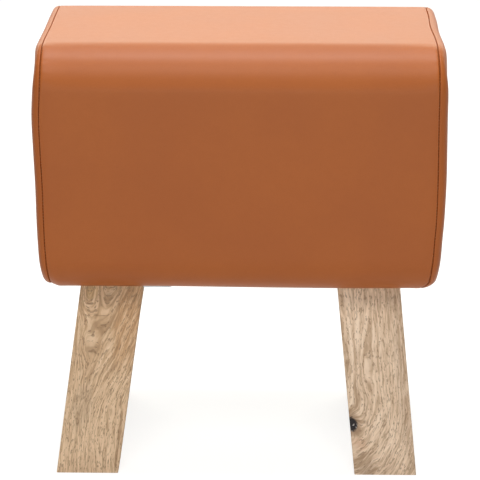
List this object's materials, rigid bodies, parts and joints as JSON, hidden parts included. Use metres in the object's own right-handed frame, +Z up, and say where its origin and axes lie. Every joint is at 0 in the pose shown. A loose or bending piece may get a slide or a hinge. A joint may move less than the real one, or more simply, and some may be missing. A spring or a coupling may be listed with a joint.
{
  "type": "upholstered stool bench",
  "caption": "Small backless bench with a rounded leather-covered box seat, a sewn seam round each end and splayed flat wooden legs.",
  "frame": {"origin": "on the floor under the centre of the body", "axes": "+X along the body to the right seen from the front, +Y to the back, +Z up"},
  "size_m": [0.4648, 0.27, 0.5],
  "materials": {
    "tan_leather": "satin",
    "mango_wood": "matte",
    "plywood": "matte",
    "softwood": "matte",
    "foam": "matte",
    "thread": "matte",
    "black_cloth": "matte",
    "zinc_steel": "satin"
  },
  "bodies": {
    "root": {"base_board": "plywood", "top_board": "plywood", "front_board": "plywood", "rear_board": "plywood", "left_end_board": "plywood", "right_end_board": "plywood", "centre_rib": "plywood", "frame_screws": "zinc_steel", "foam_wrap": "foam", "left_end_foam": "foam", "right_end_foam": "foam", "leather_wrap": "tan_leather", "left_end_panel": "tan_leather", "right_end_panel": "tan_leather", "left_seam_thread": "thread", "right_seam_thread": "thread", "leather_staples": "zinc_steel", "dust_cover": "black_cloth", "dust_cover_staples": "zinc_steel", "front_left_corner_block": "softwood", "front_left_leg": "mango_wood", "front_left_leg_plate": "zinc_steel", "front_left_leg_screws": "zinc_steel", "front_left_leg_plate_bolts": "zinc_steel", "front_left_leg_tee_nuts": "zinc_steel", "rear_left_corner_block": "softwood", "rear_left_leg": "mango_wood", "rear_left_leg_plate": "zinc_steel", "rear_left_leg_screws": "zinc_steel", "rear_left_leg_plate_bolts": "zinc_steel", "rear_left_leg_tee_nuts": "zinc_steel", "front_right_corner_block": "softwood", "front_right_leg": "mango_wood", "front_right_leg_plate": "zinc_steel", "front_right_leg_screws": "zinc_steel", "front_right_leg_plate_bolts": "zinc_steel", "front_right_leg_tee_nuts": "zinc_steel", "rear_right_corner_block": "softwood", "rear_right_leg": "mango_wood", "rear_right_leg_plate": "zinc_steel", "rear_right_leg_screws": "zinc_steel", "rear_right_leg_plate_bolts": "zinc_steel", "rear_right_leg_tee_nuts": "zinc_steel"}
  },
  "joints": []
}
